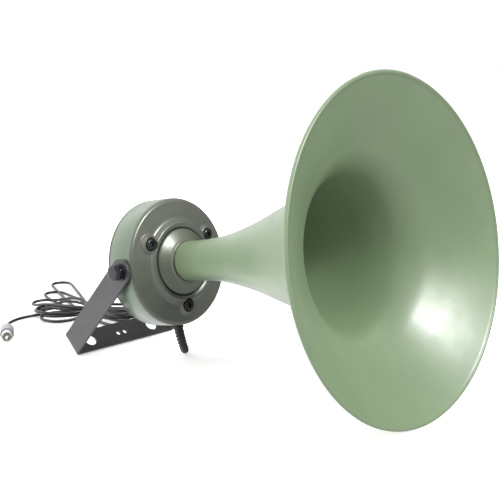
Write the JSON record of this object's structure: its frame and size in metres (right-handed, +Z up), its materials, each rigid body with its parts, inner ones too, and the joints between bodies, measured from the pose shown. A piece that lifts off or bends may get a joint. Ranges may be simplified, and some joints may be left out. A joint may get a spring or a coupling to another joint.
{
  "type": "horn loudspeaker",
  "caption": "Round metal horn loudspeaker on a driver can, tilting in a flat-bar U-bracket, with a tied hank of cord and a phono plug.",
  "frame": {"origin": "on the surface the part stands on, under the middle of the loudspeaker's box without its cord", "axes": "+Z up, mouth faces -Y, X across the bracket"},
  "size_m": [0.28, 0.6443, 0.2762],
  "materials": {
    "horn_paint": "satin",
    "case_paint": "satin",
    "flange_paint": "satin",
    "black_steel": "satin",
    "bracket_steel": "matte",
    "rubber_gasket": "matte",
    "rubber_boot": "matte",
    "cord_jacket": "matte",
    "throat_alloy": "satin",
    "plug_grey": "matte",
    "plug_nickel": "polished",
    "plug_white": "satin",
    "phenolic_dome": "matte",
    "coil_copper": "polished",
    "surround_cloth": "matte",
    "pole_steel": "satin",
    "ferrite": "matte",
    "terminal_paxolin": "satin",
    "wire_red": "satin",
    "wire_black": "satin",
    "insert_brass": "satin",
    "plug_black": "matte"
  },
  "bodies": {
    "bracket": {"u_bracket": "bracket_steel", "friction_washer_left": "rubber_gasket", "friction_washer_right": "rubber_gasket", "cord_lead": "cord_jacket", "cord_run": "cord_jacket", "cord_hank": "cord_jacket", "cord_tail": "cord_jacket", "cable_tie": "plug_black", "plug_body": "plug_grey", "plug_sleeve": "plug_nickel", "plug_insulator": "plug_white", "plug_pin": "plug_nickel"},
    "horn": {"horn_bell": "horn_paint", "throat_flange": "flange_paint", "driver_case": "case_paint", "rear_cover": "case_paint", "rear_gasket": "rubber_gasket", "throat_gasket": "rubber_gasket", "throat_plate": "throat_alloy", "phase_plug": "plug_black", "surround": "surround_cloth", "clamp_ring": "throat_alloy", "front_pole_plate": "pole_steel", "ring_magnet": "ferrite", "back_plate": "pole_steel", "terminal_board": "terminal_paxolin", "lead_wire_1": "wire_red", "lead_wire_2": "wire_black", "cable_boot": "rubber_boot", "front_screw_1": "black_steel", "rear_screw_1": "black_steel", "front_screw_2": "black_steel", "rear_screw_2": "black_steel", "front_screw_3": "black_steel", "rear_screw_3": "black_steel", "pivot_insert_left": "insert_brass", "pivot_bolt_left": "black_steel", "spring_washer_left": "black_steel", "flat_washer_left": "black_steel", "pivot_insert_right": "insert_brass", "pivot_bolt_right": "black_steel", "spring_washer_right": "black_steel", "flat_washer_right": "black_steel"},
    "diaphragm": {"diaphragm": "phenolic_dome", "voice_coil": "coil_copper"}
  },
  "joints": [
    {"name": "tilt", "type": "hinge", "parent": "bracket", "child": "horn", "pos_m": [0, 0.1014, 0.09326], "axis": [-1, 0, 0], "range_deg": [-45, 60], "deforming": ["cord_lead"]},
    {"name": "diaphragm_travel", "type": "slide", "parent": "horn", "child": "diaphragm", "axis": [0, -0.9861, 0.1659], "range_m": [-0.0005, 0.0005], "stiffness_N_per_m": 400}
  ]
}
